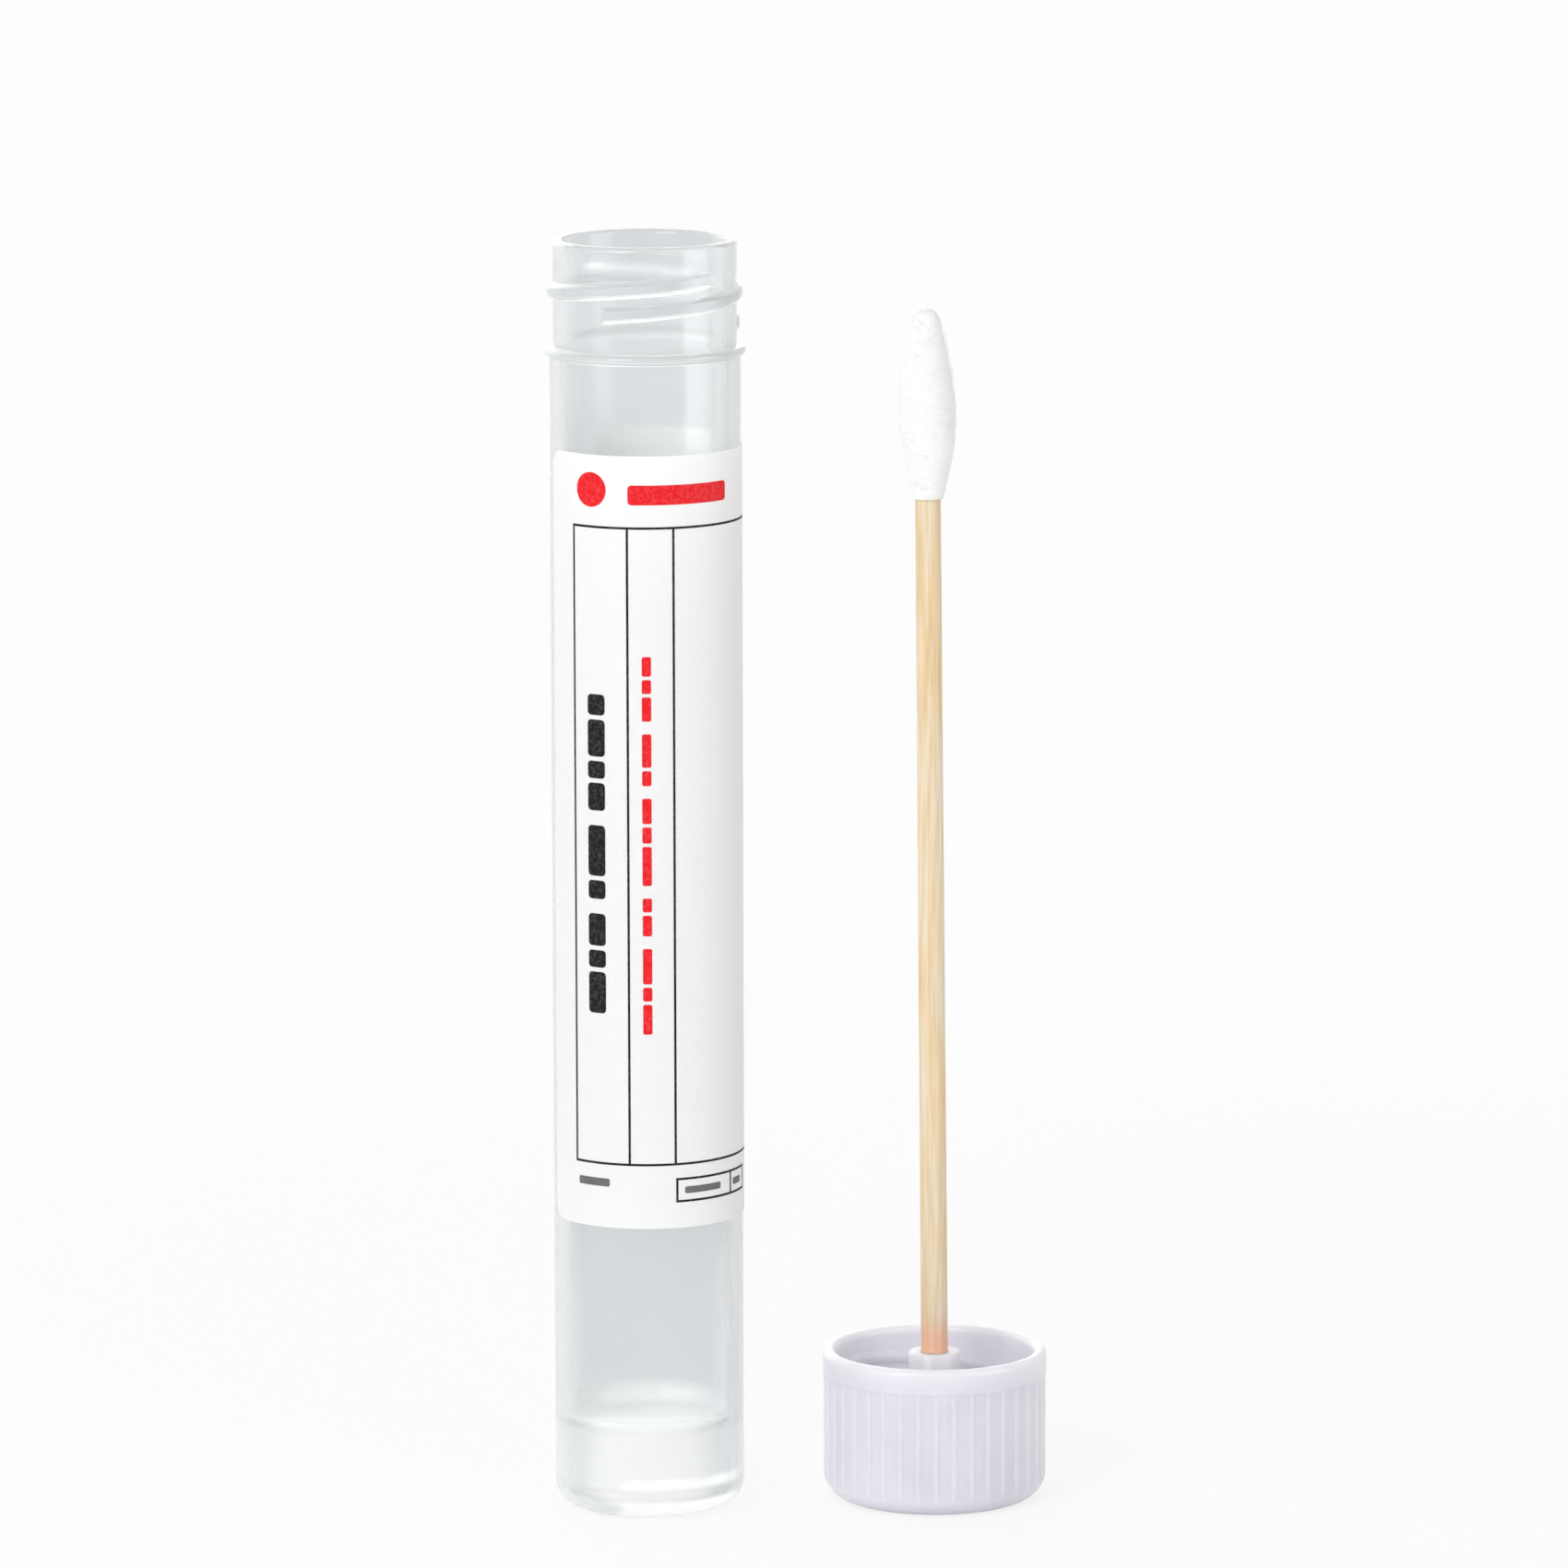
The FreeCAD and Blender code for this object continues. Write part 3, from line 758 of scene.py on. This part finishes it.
def bud_outline():
    """Half of the bud's section: from its lip up over its nose, and back down on the stick."""
    lip = (stick_high_radius, bud_foot + bud_lip)
    shares = [math.sin(row / bud_rows * math.pi / 2) for row in range(bud_rows)]
    heights = [bud_foot + (bud_top - bud_foot) * share for share in shares]
    return [
        lip,
        *[(bud_profile(up), up) for up in heights],
        (0, bud_top),
        (0, stick_reach),
        (stick_high_radius, stick_reach),
        lip,
    ]


def fold_and_slant(skin):
    """Raise soft folds and lumps on the bud, and slant its winding down towards the right."""
    winding_from = stick_high_radius + 0.02 * mm
    for vert in skin.verts:
        radius = math.hypot(vert.co.x, vert.co.y)
        if radius < winding_from and vert.co.z < bud_shoulder:
            continue
        turn = math.atan2(vert.co.y, vert.co.x)
        belly = math.sin(math.pi * (vert.co.z - bud_foot) / (bud_top - bud_foot))
        around = Vector((math.cos(turn), math.sin(turn), (vert.co.z / mm - turn) * fold_slant))
        fold = noise.noise(around * fold_scale)
        lump = noise.noise(vert.co / lump_width)
        swell = (fold_height * fold + lump_height * lump) * min(1, radius / even_radius)
        if radius > 0.001 * mm:
            vert.co.xy *= (radius + swell) / radius
        vert.co.z -= winding_dip * math.cos(turn) * max(belly, 0) * min(radius / bud_radius, 1)


def wound_cotton():
    """Cotton wool: soft white fibre that scatters light into itself, so it has no gloss and
    almost no hard shade. The fibre shows as short fine lines round the bud."""
    material = new_material("wound_cotton")
    place = add(material, "ShaderNodeTexCoord")
    winding = add(material, "ShaderNodeMapping", values={"Scale": (0.5, 0.5, 1)},
                  links={"Vector": place.outputs["Object"]})
    strands = add(material, "ShaderNodeTexNoise",
                  values={"Scale": 1 / (0.22 * mm), "Detail": 6, "Distortion": 0.6},
                  links={"Vector": winding.outputs["Vector"]})
    folds = add(material, "ShaderNodeTexNoise", values={"Scale": 1 / (1.6 * mm), "Detail": 2},
                links={"Vector": place.outputs["Object"]})
    shade = add(material, "ShaderNodeValToRGB", links={"Fac": strands.outputs["Fac"]},
                stops=[(0.3, paint("#EFEFED")), (0.6, paint("#F5F5F4"))])
    coarse = add(material, "ShaderNodeBump", values={"Strength": 0.35, "Distance": 0.2 * mm},
                 links={"Height": folds.outputs["Fac"]})
    fine = add(material, "ShaderNodeBump", values={"Strength": 0.24, "Distance": 0.05 * mm},
               links={"Height": strands.outputs["Fac"], "Normal": coarse.outputs["Normal"]})
    shader = add(material, "ShaderNodeBsdfPrincipled",
                 values={"Roughness": 0.95, "Specular IOR Level": 0.1, "Subsurface Weight": 0.6,
                         "Subsurface Radius": (1, 1, 1), "Subsurface Scale": 0.3 * mm},
                 links={"Base Color": shade.outputs["Color"], "Normal": fine.outputs["Normal"]})
    add(material, "ShaderNodeOutputMaterial", links={"Surface": shader.outputs["BSDF"]})
    return material


cotton = wound_cotton()
bud_skin = spun(bud_outline(), bud_columns)
fold_and_slant(bud_skin)
seat_on_boss(bud_skin)
bud = made_piece("cotton_winding", bud_skin, cotton, crease=60)
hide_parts("cotton_bud")


def loose_fibre(draw):
    """A fine fibre that lies over the winding and lifts off it at one end: a thread of three
    sides, spun round the bud and then laid on its outline."""
    up = bud_foot + (bud_top - bud_foot) * draw.random() ** fibre_spread
    turn = draw.uniform(0, 2 * math.pi)
    sweep = draw.uniform(*fibre_sweep) * draw.choice((-1, 1))
    climb = min(draw.uniform(*fibre_climb) * mm, bud_top - nose_clear - up)
    lift = draw.uniform(*fibre_lift) * mm
    reach = bud_profile(up)
    fibre = bmesh.new()
    upright = Matrix.Translation((reach, 0, up)) @ Matrix.Rotation(math.pi / 2, 4, "X")
    bmesh.ops.create_circle(fibre, cap_ends=True, radius=fibre_radius, segments=3,
                            matrix=Matrix.Rotation(turn, 4, "Z") @ upright)
    bmesh.ops.spin(fibre, geom=fibre.faces[:], axis=(0, 0, 1), angle=sweep,
                   dvec=(0, 0, climb / fibre_steps), steps=fibre_steps)
    for vert in fibre.verts:
        share = min(max((vert.co.z - up) / climb, 0), 1)
        here = math.hypot(vert.co.x, vert.co.y)
        laid = here - reach + bud_profile(up + climb * share) + lift * share ** 2 + fibre_gap
        vert.co.xy *= laid / here
    bmesh.ops.recalc_face_normals(fibre, faces=fibre.faces)
    return fibre


fibre_tuft = bmesh.new()
draw = random.Random(fibre_seed)
for _ in range(fibre_count):
    add_to(fibre_tuft, loose_fibre(draw))
seat_on_boss(fibre_tuft)
made_piece("cotton_fibres", fibre_tuft, cotton)


# ---------------------------------------------------------------------------------------
# Studio: a matt board under a white surround. A soft box stands front left, a weak one front
# right and a wide one behind; a small one, close on the right, shows only in gloss. The camera
# stands well back with a long lens and looks slightly down.
# ---------------------------------------------------------------------------------------
floor_half = 3
white_share = 0.8  # how much of the surround's white the board shows beside the object
white_from = 80 * mm
white_to = 300 * mm
surround_white = "#FDFDFD"
# painted shade: the surround as clear plastic shows it, greyer than its white
painted_shade_through_plastic = "#D1D4D6"
painted_shadow_through_plastic = "#BBBEC0"  # painted shadow: the board beside the object as clear plastic shows it, half way to the surround's shade
surround_light = 0.7
camera_aim = Vector((11.871, 0, 63.657)) * mm
camera_distance = 878.8 * mm
camera_pitch = 9.595
camera_roll = -0.123
camera_lens = 233.06
camera_sensor = 36


def studio_floor():
    """Matt white board. Away from the object it turns to the surround's own white, so that
    no horizon shows. Clear plastic shows it a painted shade deeper, or its wall would be lost,
    with a painted shadow beside the object."""
    material = new_material("matt_white_board")
    place = add(material, "ShaderNodeTexCoord")
    far = add(material, "ShaderNodeVectorMath", operation="LENGTH",
              links={0: place.outputs["Object"]})
    share = add(material, "ShaderNodeMapRange", interpolation_type="SMOOTHSTEP",
                values={"From Min": white_from, "From Max": white_to, "To Min": white_share},
                links={"Value": far.outputs["Value"]})
    path = add(material, "ShaderNodeLightPath")
    direct = add(material, "ShaderNodeMath", operation="MAXIMUM",
                 links={0: path.outputs["Is Camera Ray"], 1: path.outputs["Is Glossy Ray"]})
    beyond = add(material, "ShaderNodeMath", operation="MULTIPLY",
                 links={0: share.outputs["Result"], 1: direct.outputs["Value"]})
    through = add(material, "ShaderNodeMath", operation="GREATER_THAN", values={1: 0.5},
                  links={0: path.outputs["Transmission Depth"]})
    seen = add(material, "ShaderNodeMath", operation="MAXIMUM",
               links={0: beyond.outputs["Value"], 1: through.outputs["Value"]})
    # painted shadow: through clear plastic the board is deeper beside the object, fading out to
    # the surround's painted shade
    deeper = add(material, "ShaderNodeMix", data_type="RGBA",
                 values={"A": paint(painted_shadow_through_plastic), "B": paint(painted_shade_through_plastic)},
                 links={"Factor": share.outputs["Result"]})
    shade = add(material, "ShaderNodeMix", data_type="RGBA", values={"A": paint(surround_white)},
                links={"Factor": through.outputs["Value"], "B": deeper.outputs[2]})
    board = add(material, "ShaderNodeBsdfDiffuse", values={"Color": paint(surround_white)})
    glow = add(material, "ShaderNodeEmission", links={"Color": shade.outputs[2]})
    mixed = add(material, "ShaderNodeMixShader",
                links={0: seen.outputs["Value"], 1: board.outputs["BSDF"],
                       2: glow.outputs["Emission"]})
    add(material, "ShaderNodeOutputMaterial", links={"Surface": mixed.outputs["Shader"]})
    return material


floor_mesh = bpy.data.meshes.new("floor")
floor_board = bmesh.new()
bmesh.ops.create_grid(floor_board, x_segments=1, y_segments=1, size=floor_half)
floor_board.to_mesh(floor_mesh)
floor_board.free()
floor_mesh.materials.append(studio_floor())
floor = bpy.data.objects.new("floor", floor_mesh)
bpy.context.scene.collection.objects.link(floor)


def white_surround():
    """The world: pure white to the camera and in gloss, a painted shade deeper through clear
    plastic, and softer as light."""
    world = bpy.data.worlds.new("white_surround")
    world.use_nodes = True
    world.node_tree.nodes.clear()
    path = add(world, "ShaderNodeLightPath")
    through = add(world, "ShaderNodeMath", operation="GREATER_THAN", values={1: 0.5},
                  links={0: path.outputs["Transmission Depth"]})
    # painted shade: rays that have passed clear plastic see the surround greyer
    colour = add(world, "ShaderNodeMix", data_type="RGBA",
                 values={"A": (1, 1, 1, 1), "B": paint(painted_shade_through_plastic)},
                 links={"Factor": through.outputs["Value"]})
    direct = add(world, "ShaderNodeMath", operation="MAXIMUM",
                 links={0: path.outputs["Is Camera Ray"], 1: path.outputs["Is Glossy Ray"]})
    shown = add(world, "ShaderNodeMath", operation="MAXIMUM",
                links={0: direct.outputs["Value"], 1: through.outputs["Value"]})
    strength = add(world, "ShaderNodeMapRange", values={"To Min": surround_light, "To Max": 1},
                   links={"Value": shown.outputs["Value"]})
    light = add(world, "ShaderNodeBackground",
                links={"Color": colour.outputs[2], "Strength": strength.outputs["Result"]})
    add(world, "ShaderNodeOutputWorld", links={"Surface": light.outputs["Background"]})
    return world


bpy.context.scene.world = white_surround()


def soft_lamp(name, place, width, height, power, only_gloss=False):
    """A soft box that faces the middle of the object. One may show only in gloss."""
    lamp = bpy.data.lights.new(name, "AREA")
    lamp.shape = "RECTANGLE"
    lamp.size = width
    lamp.size_y = height
    lamp.energy = power
    stand = bpy.data.objects.new(name, lamp)
    stand.location = place
    stand.rotation_euler = (camera_aim - stand.location).to_track_quat("-Z", "Y").to_euler()
    stand.visible_diffuse = not only_gloss
    stand.visible_camera = False
    bpy.context.scene.collection.objects.link(stand)


soft_lamp("key_box", (-0.45, -0.75, 0.5), width=0.5, height=0.6, power=3.4)
soft_lamp("fill_box", (0.5, -0.8, 0.5), width=0.5, height=0.6, power=0.6)
soft_lamp("gloss_box", (0.186, -0.075, 0.1), width=0.13, height=0.2, power=0.18, only_gloss=True)
soft_lamp("back_box", (-0.4, 0.9, 0.45), width=1.5, height=1, power=4.2)

camera = bpy.data.cameras.new("camera")
camera.lens = camera_lens
camera.sensor_width = camera_sensor
camera.clip_end = 20
camera_stand = bpy.data.objects.new("camera", camera)
pitch = math.radians(camera_pitch)
backwards = Vector((0, -math.cos(pitch), math.sin(pitch)))
camera_stand.location = camera_aim + camera_distance * backwards
upright = Matrix.Rotation(math.pi / 2 - pitch, 4, "X")
rolled = Matrix.Rotation(math.radians(camera_roll), 4, "Z")
camera_stand.rotation_euler = (upright @ rolled).to_euler()
bpy.context.scene.collection.objects.link(camera_stand)
bpy.context.scene.camera = camera_stand
bpy.context.scene.view_settings.view_transform = "Standard"
